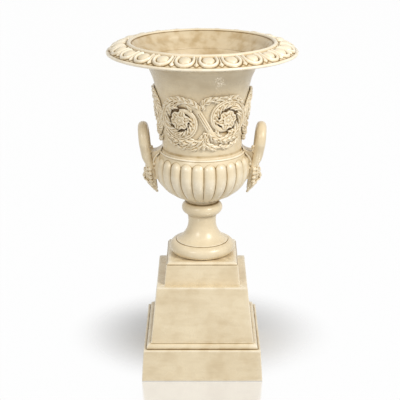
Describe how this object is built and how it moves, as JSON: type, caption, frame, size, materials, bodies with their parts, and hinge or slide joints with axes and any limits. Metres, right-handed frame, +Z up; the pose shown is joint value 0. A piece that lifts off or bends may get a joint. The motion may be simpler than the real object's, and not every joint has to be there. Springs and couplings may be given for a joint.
{
  "type": "urn planter",
  "caption": "Tall classical campana urn planter with a carved rim, openwork frieze, arched handles over masks and a square stepped pedestal.",
  "frame": {"origin": "centre of the underside, on the floor, under the urn's vertical axis", "axes": "+Z up along the urn's axis, -Y to the front of the picture, +X to the viewer's right"},
  "size_m": [0.5172, 0.5172, 0.93],
  "materials": {
    "cast_stone": "ivory cast stone with an ochre antique wash, satin",
    "steel": "plain zinc-plated",
    "rubber": "matt black"
  },
  "bodies": {
    "pedestal": {"base_pads": "rubber", "pedestal_base": "cast_stone", "pedestal_die": "cast_stone", "pedestal_bolts": "steel", "pedestal_washers": "steel"},
    "urn": {"foot_block": "cast_stone", "socle": "cast_stone", "stem_collar": "cast_stone", "bowl": "cast_stone", "neck": "cast_stone", "rim": "cast_stone", "frieze_front": "cast_stone", "frieze_rear_right": "cast_stone", "frieze_rear_left": "cast_stone", "handle_right": "cast_stone", "handle_left": "cast_stone", "mask_right": "cast_stone", "mask_left": "cast_stone", "frieze_pins": "steel", "handle_bolts": "steel", "handle_washers": "steel", "tie_rod": "steel", "clamp_nut": "steel", "clamp_washer": "steel", "floor_washer": "steel", "floor_nut": "steel", "floor_gasket": "rubber"},
    "plug": {"drain_plug": "rubber"}
  },
  "joints": [
    {"name": "urn_lift", "type": "slide", "parent": "pedestal", "child": "urn", "axis": [0, 0, 1], "range_m": [0, 0.25]},
    {"name": "plug_pull", "type": "slide", "parent": "urn", "child": "plug", "axis": [0, 0, 1], "range_m": [0, 0.06]}
  ]
}
